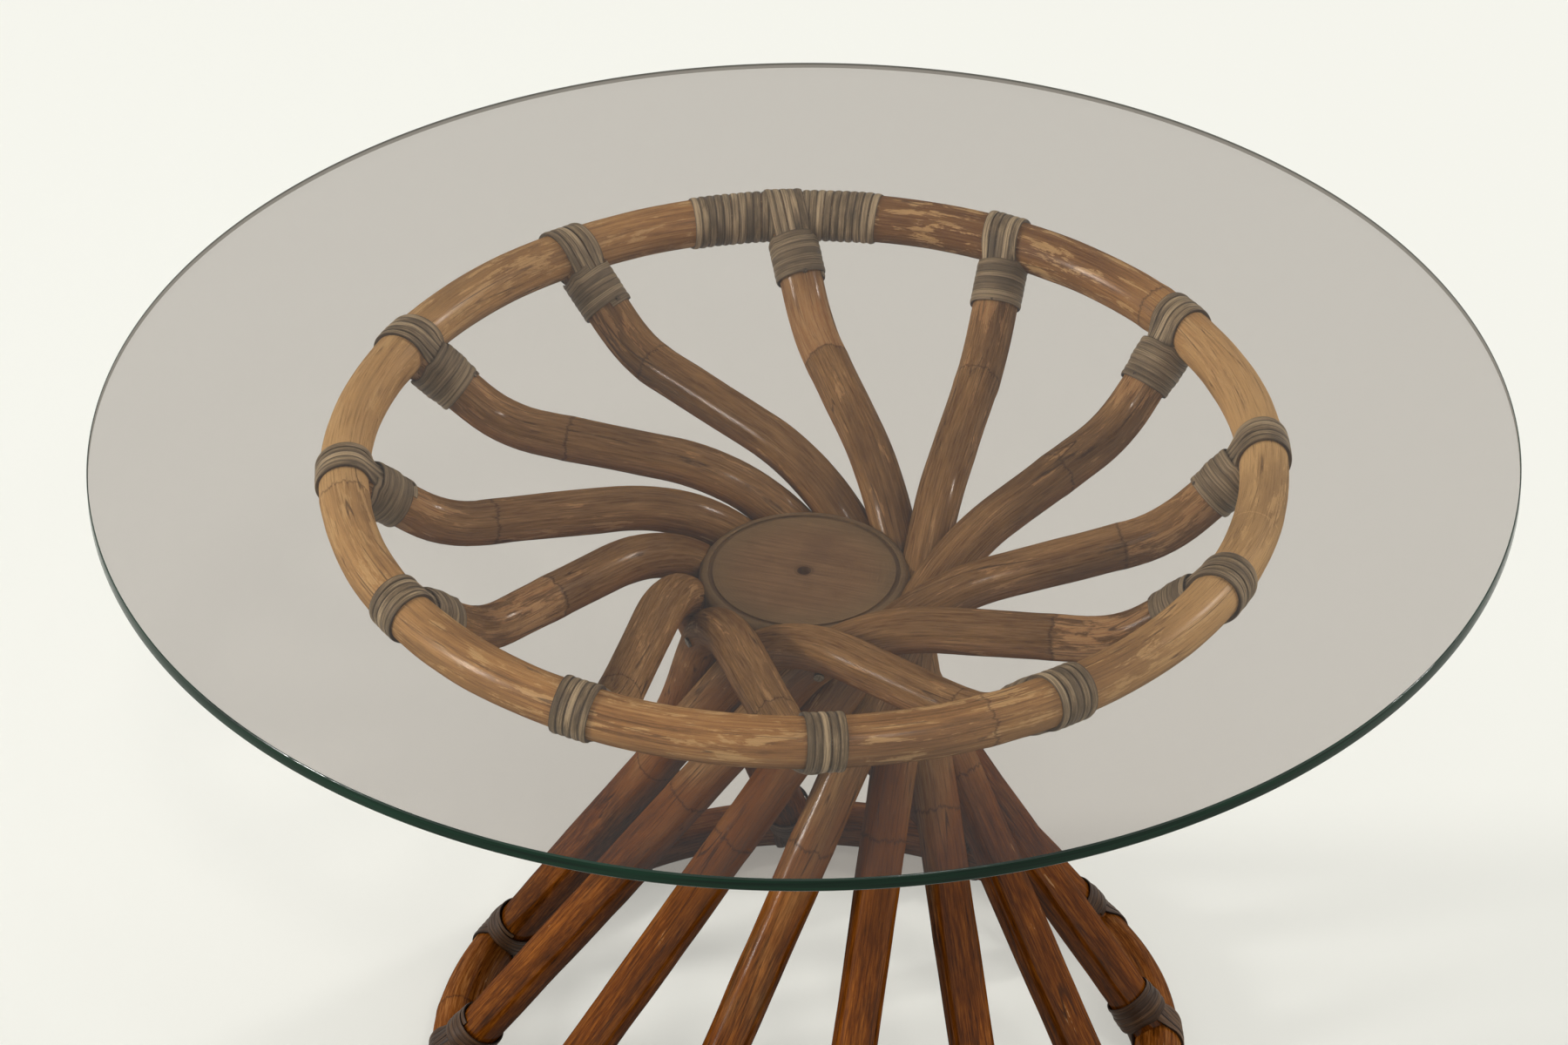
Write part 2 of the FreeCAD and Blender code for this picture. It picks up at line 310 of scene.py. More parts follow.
def caneFinish(name, look):
    finish, tree, shader = newFinish(name)
    straight = readAttribute(tree, "caneStraight")
    fromJoint, fromTop, tone = parts(tree, readAttribute(tree, "caneReach"))
    upturned = parts(tree, readAttribute(tree, "caneFacing"))[2]
    kinds = ("bands", "strands", "fibres", "torn", "clouds", "splits")
    bands, strands, fibres, torn, clouds, splits = (noise(tree, straight, *look[kind]) for kind in kinds)
    bandShare, strandShare, tornShare = look["streakShares"]
    streaks = plus(tree, times(tree, bands, bandShare), times(tree, strands, strandShare))
    streaks = plus(tree, streaks, times(tree, torn, tornShare))
    fibreStep = minus(tree, fibres, 0.5)
    woodStops = (0.5 - look["spread"], 0.5, 0.5 + look["spread"])
    wood = ramp(tree, streaks, woodStops, (look["dark"], look["middle"], look["light"]))
    wood = mix(tree, span(tree, fromTop, *look["ruddy"]), wood, look["light"])
    wood = mix(tree, span(tree, tone, *look["darkTone"]), wood, look["dark"])
    # The tone pales the colour towards the worn colour; on the top hoop this is partly worn lacquer and
    # partly painted light
    wood = mix(tree, times(tree, tone, look["pale"]), wood, look["worn"])
    # The upper part has faded to a dull ochre, with a cloudy end; the faded colour is stronger on upper
    # sides, partly sun fading and partly painted top light
    cloudStep = times(tree, minus(tree, clouds, 0.5), look["cloudyEnd"])
    fade = span(tree, plus(tree, fromTop, cloudStep), *look["fade"])
    fade = times(tree, fade, span(tree, upturned, *look["fadeAndTopLightFacing"]))
    fadedColours = (look["fadedDark"], look["faded"], look["fadedLight"])
    fadedAndTopLit = mix(tree, fade, wood, ramp(tree, streaks, look["fadedStops"], fadedColours))
    # Random cloudy stains, and painted shade darkening the undersides of the canes
    cloudy = span(tree, clouds, *look["cloudShade"])
    underside = span(tree, upturned, *look["paintedUnderShade"])
    stainedAndShaded = mix(tree, sums(tree, "MAXIMUM", cloudy, underside), fadedAndTopLit, look["dark"])
    # The upper side of a joint can be tan, with a torn edge
    fibreEdge = times(tree, fibreStep, look["fibreEdge"])
    tornEdge = times(tree, minus(tree, torn, 0.5), look["tornEdge"])
    ragged = plus(tree, fromJoint, plus(tree, fibreEdge, tornEdge))
    above = span(tree, ragged, *look["jointEdge"])
    thinning = span(tree, fromJoint, *look["tanThins"])
    thinning = times(tree, thinning, span(tree, fromTop, *look["tanEnd"]))
    patchy = span(tree, plus(tree, torn, times(tree, tone, look["tanTone"])), *look["tanPatches"])
    tanned = times(tree, times(tree, above, thinning), patchy)
    # Worn flakes gather below the collars
    nearCollar = span(tree, fromTop, *look["collarWear"])
    bare = plus(tree, plus(tree, torn, nearCollar), times(tree, fibreStep, look["fibreWear"]))
    bare = minus(tree, bare, span(tree, fromTop, *look["lowFlakes"]))
    flakes = span(tree, bare, *look["flakes"])
    wear = sums(tree, "MAXIMUM", flakes, times(tree, tanned, look["tanShare"]))
    worn = mix(tree, span(tree, streaks, *look["wornStreaks"]), look["worn"], look["light"])
    paler = mix(tree, wear, stainedAndShaded, worn)
    lined = mix(tree, span(tree, fibres, *look["fibreLines"]), paler, look["dark"])
    fromSplit = sums(tree, "ABSOLUTE", minus(tree, splits, 0.5))
    splitLine = span(tree, fromSplit, *look["splitLine"])
    splitHere = times(tree, splitLine, span(tree, torn, *look["splitPatches"]))
    split = mix(tree, splitHere, lined, look["ring"])
    ringLine = span(tree, sums(tree, "ABSOLUTE", ragged), *look["ringLine"])
    ringed = mix(tree, times(tree, ringLine, look["ringShare"]), split, look["ring"])
    dulled = plus(tree, times(tree, fibres, look["glossFibres"]), times(tree, wear, look["glossWear"]))
    dress(tree, shader, ringed, span(tree, dulled, *look["rough"]), look["shine"])
    shader.inputs["Coat Weight"].default_value = look["coat"]
    shader.inputs["Coat Roughness"].default_value = look["coatRough"]
    shader.inputs["Coat IOR"].default_value = look["coatIor"]
    height = times(tree, streaks, look["streakHeight"])
    height = plus(tree, height, times(tree, fibres, look["fibreHeight"]))
    height = minus(tree, height, times(tree, flakes, look["flakeDepth"]))
    height = minus(tree, height, sums(tree, "MAXIMUM", ringLine, splitHere))
    bump(tree, shader, height, *look["bump"])
    bump(tree, shader, height, *look["coatBump"], "Coat Normal")
    return finish


# Split cane of the bindings: matt outer skin with fibres along the strip, the wound strips duller, and
# painted shade along the edges of each strip
woundSeed = 60.0  # strips with a seed from here on are wound
topStripFinish = {
    "dark": paint(88, 75, 54),
    "middle": paint(150, 130, 97),
    "light": paint(206, 184, 145),
    # painted shade for the edges of the strips
    "edge": paint(64, 52, 38),
    "dull": paint(116, 100, 75),
    "fibres": ((1500, 1, 30), 4, 0.62),
    "blotch": ((320, 7, 55), 5, 0.6),
    "strand": ((0, 13, 9), 2, 0.5),
    "bodyStops": (0.3, 0.52, 0.78),
    "paleStrands": (0.48, 0.64, 0.0, 0.9),
    "deepStrands": (0.47, 0.32, 0.0, 0.7),
    "woundDull": (woundSeed - 10, woundSeed, 0.0, 0.5),
    "fibreLines": (0.42, 0.56, 0.6, 0.0),
    "edgeReach": (0.0013, 0.0021, 0.0, 0.75),
    "rough": (0.3, 0.7, 0.7, 0.4),
    "shine": 0.25,
    "blotchHeight": 0.4,
    "bump": (0.5, 0.0004),
}
baseStripFinish = dict(
    topStripFinish,
    dark=paint(38, 24, 14),
    middle=paint(74, 49, 29),
    light=paint(118, 85, 54),
    # painted shade for the edges of the dark strips
    edge=paint(28, 17, 10),
    dull=paint(56, 38, 24),
)


def stripFinish(name, look):
    finish, tree, shader = newFinish(name)
    spot = readAttribute(tree, "stripSpot")
    side, seed = parts(tree, spot)[:2]
    fibres, blotch, strand = (noise(tree, spot, *look[kind]) for kind in ("fibres", "blotch", "strand"))
    body = ramp(tree, blotch, look["bodyStops"], (look["dark"], look["middle"], look["light"]))
    paler = mix(tree, span(tree, strand, *look["paleStrands"]), body, look["light"])
    deeper = mix(tree, span(tree, strand, *look["deepStrands"]), paler, look["dark"])
    wound = mix(tree, span(tree, seed, *look["woundDull"]), deeper, look["dull"])
    lined = mix(tree, span(tree, fibres, *look["fibreLines"]), wound, look["dark"])
    # Darker towards the edges of each strip: painted shade in the creases between strips
    fromMiddle = sums(tree, "ABSOLUTE", side)
    edgeShaded = mix(tree, span(tree, fromMiddle, *look["edgeReach"]), lined, look["edge"])
    dress(tree, shader, edgeShaded, span(tree, fibres, *look["rough"]), look["shine"])
    height = plus(tree, fibres, times(tree, blotch, look["blotchHeight"]))
    bump(tree, shader, height, *look["bump"])
    return finish


# Turned hub, straight grain with lathe lines round it, darker in its groove and hole
hubLook = {
    "dark": paint(98, 71, 46),
    "middle": paint(132, 102, 68),
    "light": paint(156, 122, 86),
    "edge": paint(124, 105, 72),
    "grain": ((22, 420, 120), 6, 0.62, 0.6),
    "pores": ((90, 2200, 500), 3, 0.6),
    "clouds": ((38, 38, 38), 4, 0.55),
    "grainTurn": 0.3,
    "grainStops": (0.2, 0.5, 0.85),
    "stains": (0.45, 0.7, 0.0, 0.4),
    "edgeReach": (0.03, 0.056, 0.0, 0.6),
    "poreLines": (0.42, 0.3, 0.0, 0.7),
    "groove": 0.0535,
    "grooveReach": (0.0015, 0.0012, 0.0, 0.55),
    "holeReach": (0.0062, 0.0052, 0.0, 0.6),
    "latheLines": 3400.0,
    "rough": (0.3, 0.7, 0.42, 0.62),
    "shine": 0.2,
    "poreHeight": 0.7,
    "latheHeight": 0.12,
    "bump": (0.4, 0.0005),
}


def hubFinish(name, look):
    finish, tree, shader = newFinish(name)
    place = objectPlace(tree)
    turn = tree.nodes.new("ShaderNodeMapping")
    tree.links.new(place, turn.inputs["Vector"])
    turn.inputs["Rotation"].default_value = (0, 0, look["grainTurn"])
    grain = noise(tree, turn.outputs["Vector"], *look["grain"])
    pores = noise(tree, turn.outputs["Vector"], *look["pores"])
    clouds = noise(tree, place, *look["clouds"])
    across, ahead = parts(tree, place)[:2]
    reach = sums(tree, "SQRT", plus(tree, times(tree, across, across), times(tree, ahead, ahead)))
    lathe = sums(tree, "SINE", times(tree, reach, look["latheLines"]))
    wood = ramp(tree, grain, look["grainStops"], (look["dark"], look["middle"], look["light"]))
    stained = mix(tree, span(tree, clouds, *look["stains"]), wood, look["dark"])
    olive = mix(tree, span(tree, reach, *look["edgeReach"]), stained, look["edge"])
    pored = mix(tree, span(tree, pores, *look["poreLines"]), olive, look["dark"])
    fromGroove = sums(tree, "ABSOLUTE", minus(tree, reach, look["groove"]))
    inGroove = span(tree, fromGroove, *look["grooveReach"])
    inHole = span(tree, reach, *look["holeReach"])
    marked = mix(tree, sums(tree, "MAXIMUM", inGroove, inHole), pored, look["dark"])
    dress(tree, shader, marked, span(tree, clouds, *look["rough"]), look["shine"])
    height = times(tree, pores, look["poreHeight"])
    height = plus(tree, height, times(tree, lathe, look["latheHeight"]))
    bump(tree, shader, height, *look["bump"])
    return finish


# Dull steel of the nails and pins
steelLook = {
    "bright": paint(124, 112, 94),
    "dull": paint(58, 48, 38),
    "spots": ((900, 900, 900), 4, 0.6),
    "stops": (0.35, 0.65),
    "rough": (0.3, 0.7, 0.6, 0.36),
    "bump": (0.3, 0.0002),
}


def steelFinish(name, look):
    finish, tree, shader = newFinish(name)
    spots = noise(tree, objectPlace(tree), *look["spots"])
    plug(tree, shader.inputs["Base Color"], ramp(tree, spots, look["stops"], (look["dull"], look["bright"])))
    shader.inputs["Metallic"].default_value = 1.0
    plug(tree, shader.inputs["Roughness"], span(tree, spots, *look["rough"]))
    bump(tree, shader, spots, *look["bump"])
    return finish


# Clear glass lets the lamps through, its rim is deep green
glassLook = {
    "tint": (0.67, 0.635, 0.615, 1),
    "shade": (0.94, 0.935, 0.925, 1),
    "ior": 1.5,
    "wipes": ((9, 14, 1), 5, 0.6, 1.0),
    "rough": (0.45, 0.75, 0.0, 0.018),
    "waves": ((3, 3, 3), 1, 0.5),
    "bump": (0.01, 0.0001),
    "rim": paint(16, 50, 34),
    "rimDeep": paint(8, 32, 21),
    "rimInside": (0.35, 0.33, 0.305, 1),
    "rimInsideTop": (0.14, 0.135, 0.12, 1),
    "rimHeights": (0.456, 0.458),
    "rimBands": ((14, 14, 700), 3, 0.5),
    "rimStops": (0.35, 0.65),
    "rimGround": ((500, 500, 500), 3, 0.6),
    "rimRough": (0.3, 0.7, 0.1, 0.24),
    "rimBump": (0.08, 0.0001),
    "rimShine": 0.12,
    "edgeShine": 0.5,
    "radius": 0.4,
    "thickness": 0.008,
    "segments": 384,
    "ease": 0.0008,
    "easeSteps": 3,
    "easeAngle": 60,
    "smoothAngle": 30,
    "flatFace": 0.99,
    "uprightFace": 0.01,
}


def glassFinish(name, look):
    finish, tree, shader = newFinish(name)
    shader.inputs["Base Color"].default_value = look["tint"]
    shader.inputs["Transmission Weight"].default_value = 1.0
    shader.inputs["IOR"].default_value = look["ior"]
    place = objectPlace(tree)
    plug(tree, shader.inputs["Roughness"], span(tree, noise(tree, place, *look["wipes"]), *look["rough"]))
    bump(tree, shader, noise(tree, place, *look["waves"]), *look["bump"])
    clear = tree.nodes.new("ShaderNodeBsdfTransparent")
    clear.inputs["Color"].default_value = look["shade"]
    path = tree.nodes.new("ShaderNodeLightPath")
    chooseShader(tree, path.outputs["Is Shadow Ray"], shader, clear)
    return finish


def rimFinish(name, look, shine):
    finish, tree, shader = newFinish(name)
    place = objectPlace(tree)
    bands = noise(tree, place, *look["rimBands"])
    colour = ramp(tree, bands, look["rimStops"], (look["rimDeep"], look["rim"]))
    ground = noise(tree, place, *look["rimGround"])
    dress(tree, shader, colour, span(tree, ground, *look["rimRough"]), shine)
    bump(tree, shader, ground, *look["rimBump"])
    # Light that is already inside the disc leaves through the rim
    clear = tree.nodes.new("ShaderNodeBsdfTransparent")
    upper = span(tree, parts(tree, place)[2], *look["rimHeights"])
    plug(tree, clear.inputs["Color"], mix(tree, upper, look["rimInside"], look["rimInsideTop"]))
    inside = tree.nodes.new("ShaderNodeNewGeometry")
    chooseShader(tree, inside.outputs["Backfacing"], shader, clear)
    return finish


canePoles = caneFinish("lacqueredPoleCane", poleFinish)
caneTopHoop = caneFinish("lacqueredTopHoopCane", topHoopFinish)
caneBaseHoop = caneFinish("lacqueredBaseHoopCane", baseHoopFinish)
stripTop = stripFinish("splitCane", topStripFinish)
stripBase = stripFinish("darkSplitCane", baseStripFinish)
hubWood = hubFinish("turnedHubWood", hubLook)
nailSteel = steelFinish("dullNailSteel", steelLook)
glassClear = glassFinish("clearGlass", glassLook)
glassRim = rimFinish("greenGlassRim", glassLook, glassLook["rimShine"])
glassEdge = rimFinish("polishedGlassEdge", glassLook, glassLook["edgeShine"])
print("finishes ready")


# Shared steps of the modelling
def selectOnly(piece):
    deselect()
    piece.select_set(True)
    bpy.context.view_layer.objects.active = piece


def setMode(mode):
    bpy.ops.object.mode_set(mode=mode)


def applyPlace():
    bpy.ops.object.transform_apply(location=True, rotation=True, scale=True)


def applyModifier(piece, modifier):
    selectOnly(piece)
    bpy.ops.object.modifier_apply(modifier=modifier.name)


def ownCopy(master):
    piece = master.copy()
    piece.data = master.data.copy()
    bpy.context.scene.collection.objects.link(piece)
    return piece


def joinAll(pieces):
    selectOnly(pieces[0])
    for piece in pieces:
        piece.select_set(True)
    if len(pieces) > 1:
        bpy.ops.object.join()
    return pieces[0]


def takeOut(piece):
    bpy.data.objects.remove(piece)


def settle(piece, name, finish, body, slot, nodes, angle=40):
    piece.name = name
    piece.data.name = name
    piece.data.materials.clear()
    piece.data.materials.append(finish)
    selectOnly(piece)
    bpy.ops.object.shade_smooth_by_angle(angle=math.radians(angle))
    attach(piece, body)
    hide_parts(*nodes)


# Hoops and poles share these places with the frame
hoopLook = {
    "top": {
        "radius": 0.258, "bar": 0.014, "height": 0.4362,
        "joints": (96, 200, 305), "seam": 92.0, "toned": 1.0,
    },
    "base": {
        "radius": 0.211, "bar": 0.014, "height": 0.016,
        "joints": (20, 140, 265), "seam": 32.0, "toned": 0.0,
    },
    "ringsAround": 420,
    "sides": 28,
    "lump": 0.0011,
    "swell": 0.0004,
    "swellReach": 0.005,
    # The top hoop is paler at its sides: partly worn lacquer and partly painted light
    "wornAndLitTurn": 20,
    "palestWornAndLit": {"at": -8, "reach": 34, "share": 0.6},
    "darkest": {"at": 66, "reach": 28},
}
poleLook = {
    "count": 12,
    "firstAzimuth": 182.0,
    "radius": 0.013,
    "knee": {"radius": 0.2036, "swing": 3.6, "drop": 0.0462, "bend": 0.068},
    "shoulder": {"radius": 0.075, "swing": 43.6, "drop": 0.0595, "bend": 0.116},
    "footSwing": 150.0,
    "pathSteps": 48,
    "sides": 28,
    "rings": 190,
    "jointAt": (0.105, 0.4),
    "jointShift": 0.022,
    "tanTops": {4: 1.0, 7: 0.66, 8: 0.7, 12: 0.7},
    "mostTone": 0.4,
    "lump": 0.0012,
    "lumpSize": 0.055,
    "swell": 0.0003,
    "swellReach": 0.005,
    "seat": 0.0003,
    "coped": 0.03,
    "copeBack": 0.001,
    "copeReach": 0.05,
    "copeSteps": 22,
    "firstSeed": 40,
    "grainStep": 3.7,
}
lumps = bpy.data.textures.new("caneLumps", "CLOUDS")
lumps.noise_scale = poleLook["lumpSize"]


def swung(radius, swing, height):
    angle = math.radians(-swing)
    return Vector((radius * math.cos(angle), radius * math.sin(angle), height))


topHoop = hoopLook["top"]
baseHoop = hoopLook["base"]
knee = poleLook["knee"]
shoulder = poleLook["shoulder"]
poleCorners = [
    swung(topHoop["radius"], 0, topHoop["height"]),
    swung(knee["radius"], knee["swing"], topHoop["height"] - knee["drop"]),
    swung(shoulder["radius"], shoulder["swing"], topHoop["height"] - shoulder["drop"]),
    swung(baseHoop["radius"], poleLook["footSwing"], baseHoop["height"]),
]
topAxis = (poleCorners[1] - poleCorners[0]).normalized()
baseAxis = (poleCorners[2] - poleCorners[3]).normalized()


def poleAzimuth(number):
    return math.radians(poleLook["firstAzimuth"] - 360 / poleLook["count"] * (number - 1))


def polePath():
    knots = [[poleCorners[0], poleCorners[0], poleCorners[0]]]  # handle, point, handle
    for index, bend in ((1, knee["bend"]), (2, shoulder["bend"])):
        corner = poleCorners[index]
        back = (poleCorners[index - 1] - corner).normalized()
        onward = (poleCorners[index + 1] - corner).normalized()
        turn = math.pi - back.angle(onward)
        reach = bend * math.tan(turn / 2)
        pull = bend * 4 / 3 * math.tan(turn / 4)
        enter = corner + back * reach
        leave = corner + onward * reach
        knots.append([enter, enter, enter - back * pull])
        knots.append([leave - onward * pull, leave, leave])
    knots.append([poleCorners[3], poleCorners[3], poleCorners[3]])
    for first in range(0, len(knots), 2):  # straight runs
        start = knots[first][1]
        end = knots[first + 1][1]
        knots[first][2] = start.lerp(end, 1 / 3)
        knots[first + 1][0] = start.lerp(end, 2 / 3)
    deselect()
    bpy.ops.curve.primitive_bezier_curve_add(location=(0, 0, 0))
    path = bpy.context.object
    path.data.resolution_u = poleLook["pathSteps"]
    points = path.data.splines[0].bezier_points
    points.add(len(knots) - len(points))
    for point, (before, place, after) in zip(points, knots):
        point.handle_left_type = "FREE"
        point.handle_right_type = "FREE"
        point.co = place
        point.handle_left = before
        point.handle_right = after
    return path


def straightCane(length):
    deselect()
    bpy.ops.mesh.primitive_cylinder_add(
        vertices=poleLook["sides"],
        radius=poleLook["radius"],
        depth=length,
        end_fill_type="TRIFAN",
        location=(0, 0, length / 2),
    )
    cane = bpy.context.object
    applyPlace()
    setMode("EDIT")
    bpy.ops.mesh.select_mode(type="EDGE")
    bpy.ops.mesh.select_all(action="DESELECT")
    setMode("OBJECT")
    for edge in cane.data.edges:  # the long edges
        low, high = (cane.data.vertices[index].co.z for index in edge.vertices)
        edge.select = abs(high - low) > length / 2
    setMode("EDIT")
    bpy.ops.mesh.subdivide(number_cuts=poleLook["rings"])
    setMode("OBJECT")
    return cane


def markCane(mesh, spots, length, joints, toneAt, seed, closed):
    straight = mesh.attributes.new("caneStraight", "FLOAT_VECTOR", "POINT")
    reach = mesh.attributes.new("caneReach", "FLOAT_VECTOR", "POINT")
    for index, (x, y, z) in enumerate(spots):
        nearest = min((z - joint for joint in joints), key=abs)
        fromTop = length if closed else z
        straight.data[index].vector = (x, y, z + seed)
        reach.data[index].vector = (nearest, fromTop, toneAt(z))


def addLumps(piece, strength):
    modifier = piece.modifiers.new("lumps", "DISPLACE")
    modifier.texture = lumps
    modifier.texture_coords = "LOCAL"
    modifier.mid_level = 0.5
    modifier.strength = strength
    applyModifier(piece, modifier)
    facing = piece.data.attributes.new("caneFacing", "FLOAT_VECTOR", "POINT")
    for vertex in piece.data.vertices:
        facing.data[vertex.index].vector = vertex.normal


def hill(spot, middle, reach):
    return math.exp(-(((spot - middle) / reach) ** 2))


def jointSwell(z, joints, look):
    nearest = min(abs(z - joint) for joint in joints)
    return look["swell"] * hill(nearest, 0, look["swellReach"])


def barDistance(place, hoop):
    return math.hypot(math.hypot(place.x, place.y) - hoop["radius"], place.z - hoop["height"])


def copeEnd(piece, hoop, meeting, axis):
    depth = poleLook["coped"]
    skin = hoop["bar"] + poleLook["seat"]
    for vertex in piece.data.vertices:
        out = vertex.co - meeting
        along = out.dot(axis)
        if -poleLook["copeBack"] < along < depth and out.length < poleLook["copeReach"]:
            foot = vertex.co - axis * along
            low = 0.0
            high = depth
            for step in range(poleLook["copeSteps"]):
                middle = (low + high) / 2
                if barDistance(foot + axis * middle, hoop) < skin:
                    low = middle
                else:
                    high = middle
            vertex.co = foot + axis * (low + along * (depth - low) / depth)


def bendPoles():
    path = polePath()
    length = path.data.splines[0].calc_length()
    master = straightCane(length)
    for number in range(1, poleLook["count"] + 1):
        chance = random.Random(poleLook["firstSeed"] + number)
        piece = ownCopy(master)
        joints = [spot + chance.uniform(-1, 1) * poleLook["jointShift"] for spot in poleLook["jointAt"]]
        spots = [vertex.co.copy() for vertex in piece.data.vertices]
        tone = poleLook["tanTops"].get(number, chance.uniform(0, poleLook["mostTone"]))
        markCane(piece.data, spots, length, joints, lambda z: tone, number * poleLook["grainStep"], False)
        for vertex in piece.data.vertices:
            grown = 1 + jointSwell(vertex.co.z, joints, poleLook) / poleLook["radius"]
            vertex.co.x *= grown
            vertex.co.y *= grown
        bend = piece.modifiers.new("bend", "CURVE")
        bend.object = path
        bend.deform_axis = "POS_Z"
        applyModifier(piece, bend)
        copeEnd(piece, topHoop, poleCorners[0], topAxis)
        copeEnd(piece, baseHoop, poleCorners[3], baseAxis)
        piece.rotation_euler = (0, 0, poleAzimuth(number))
        selectOnly(piece)
        applyPlace()
        addLumps(piece, poleLook["lump"])
        settle(piece, "bentPole_%02d" % number, canePoles, "pedestal", "cane_pole", ["pole_%02d" % number])
    takeOut(master)
    takeOut(path)


bendPoles()
print("poles bent")


def bendHoop(name, hoop, node, seed, finish):
    deselect()
    bpy.ops.mesh.primitive_torus_add(
        major_segments=hoopLook["ringsAround"],
        minor_segments=hoopLook["sides"],
        major_radius=hoop["radius"],
        minor_radius=hoop["bar"],
        location=(0, 0, 0),
    )
    piece = bpy.context.object
    piece.location = (0, 0, hoop["height"])
    piece.rotation_euler = (0, 0, math.radians(hoop["seam"]))
    applyPlace()
    mesh = piece.data
    length = 2 * math.pi * hoop["radius"]
    joints = [length * joint / 360 for joint in hoop["joints"]]
    spots = []
    for vertex in mesh.vertices:
        around = math.degrees(math.atan2(vertex.co.y, vertex.co.x)) - hoop["seam"]
        out = math.hypot(vertex.co.x, vertex.co.y) - hoop["radius"]
        spots.append((out, vertex.co.z - hoop["height"], length * (around % 360) / 360))

    # Tone of the hoop: its paler sides are partly worn lacquer and partly painted light
    def toneAt(along):  # paler at the left and most at the right of the table, dark at the back right
        around = (360 * along / length + hoop["seam"] + 90) % 360 - 90
        palestWornAndLit = hoopLook["palestWornAndLit"]
        darkest = hoopLook["darkest"]
        pale = 0.5 + 0.5 * math.cos(math.radians(2 * around + hoopLook["wornAndLitTurn"]))
        pale += palestWornAndLit["share"] * hill(around, palestWornAndLit["at"], palestWornAndLit["reach"])
        return hoop["toned"] * (pale - hill(around, darkest["at"], darkest["reach"]))

    markCane(mesh, spots, length, joints, toneAt, seed, True)
    for vertex, (out, rise, along) in zip(mesh.vertices, spots):
        grown = jointSwell(along, joints, hoopLook) / hoop["bar"]
        outward = Vector((vertex.co.x, vertex.co.y, 0)).normalized()
        vertex.co += (outward * out + upward * rise) * grown
    addLumps(piece, hoopLook["lump"])
    settle(piece, name, finish, "pedestal", "cane_hoop", [node])


bendHoop("bentTopHoop", topHoop, "top_hoop", 61.0, caneTopHoop)
bendHoop("bentBaseHoop", baseHoop, "base_hoop", 83.0, caneBaseHoop)
print("hoops bent")


# Bindings: five strips over the hoop with a wound collar, laid from flat strips
stripLook = {
    "straps": 5,
    "pitch": 0.0044,
    "width": 0.0043,
    "widths": (0.93, 1.02),
    "thickness": 0.0018,
    "crown": 0.00045,
    "legLift": 0.0009,
    "legShare": 0.7,
    "squeeze": 0.94,
    "press": 0.001,
    "columns": 4,
    "strapRows": 64,
    "strapLength": 0.12,
    "legRows": 6,
    "collarStart": 0.0143,
    "collarPitch": 0.0035,
    "collarWidth": 0.0034,
    "collarThickness": 0.0008,
    "collarCrown": 0.0004,
    "collarGap": 0.0001,
    "collarMean": 0.0155,
    "collarRowsPerTurn": 44,
    "saddleTurns": 3.2,
    "saddleGap": 0.0006,
    "saddleFlank": {"from": 0.55, "reach": 0.25, "share": 0.85},
    "padFlank": {"from": 0.5, "reach": 0.25},
    "padEnd": {"past": 0.002, "reach": 0.005},
    "swayRates": (0.35, 0.4),
    "swayRise": 0.5,
    "jitter": 0.00025,
    "tuck": 0.0011,
    "tuckTurns": 0.2,
    "lowest": 0.0002,
    "grainReach": 40,
}
bindings = {
    "top": {
        "hoop": topHoop, "meeting": poleCorners[0], "axis": topAxis, "turns": 7, "lift": 0.0024,
        "firstSeed": 100, "finish": stripTop, "slot": "split_cane",
    },
    "base": {
        "hoop": baseHoop, "meeting": poleCorners[3], "axis": baseAxis, "turns": 5, "lift": 0.0019,
        "firstSeed": 200, "finish": stripBase, "slot": "split_cane_dark",
    },
}


def flatStrip(rows):
    deselect()
    bpy.ops.mesh.primitive_grid_add(
        x_subdivisions=stripLook["columns"], y_subdivisions=rows, size=1, location=(0, 0, 0)
    )
    return bpy.context.object


def layStrip(flat, length, place, seed):
    mesh = flat.data.copy()
    spot = mesh.attributes.new("stripSpot", "FLOAT_VECTOR", "POINT")
    for vertex in mesh.vertices:
        side = vertex.co.x * 2
        along = vertex.co.y + 0.5
        vertex.co = place(side, along)
        spot.data[vertex.index].vector = (side * stripLook["width"] / 2, seed, along * length + seed)
    piece = bpy.data.objects.new("strip", mesh)
    bpy.context.scene.collection.objects.link(piece)
    return piece


def joinStrips(strips, thicknesses):
    for piece, thickness in zip(strips, thicknesses):
        modifier = piece.modifiers.new("skin", "SOLIDIFY")
        modifier.thickness = thickness
        modifier.offset = -1
        modifier.use_even_offset = True
        applyModifier(piece, modifier)
    piece = joinAll(strips)
    setMode("EDIT")
    bpy.ops.mesh.select_all(action="SELECT")
    bpy.ops.mesh.normals_make_consistent(inside=False)
    setMode("OBJECT")
    return piece


def eased(share):
    share = min(max(share, 0), 1)
    return share * share * (3 - 2 * share)


def newSway(chance):
    return [chance.uniform(0, 2 * math.pi) for step in range(3)]


def swayed(angle, rates, sway):
    first, further = rates
    waves = [math.sin(angle * (first + further * step) + start) for step, start in enumerate(sway)]
    return sum(waves) / len(waves)


def tucked(along, turns):
    return max(0, 1 - min(along, 1 - along) * turns / stripLook["tuckTurns"])


def aboveFloor(place):
    return Vector((place.x, place.y, max(place.z, stripLook["lowest"])))


def sideOf(axis, direction):
    return (direction - axis * direction.dot(axis)).normalized()


def hoopPoint(hoop, meeting, across, shift):
    tangent = upward.cross(Vector((meeting.x, meeting.y, 0))).normalized()
    radial = Vector((meeting.x, meeting.y, 0)).normalized()
    angle = shift / tangent.dot(across) / hoop["radius"]
    turned = radial * math.cos(angle) + tangent * math.sin(angle)
    return turned * hoop["radius"] + upward * hoop["height"]


def nearestOnHoop(hoop, place):
    flat = Vector((place.x, place.y, 0)).normalized()
    return flat * hoop["radius"] + upward * hoop["height"]


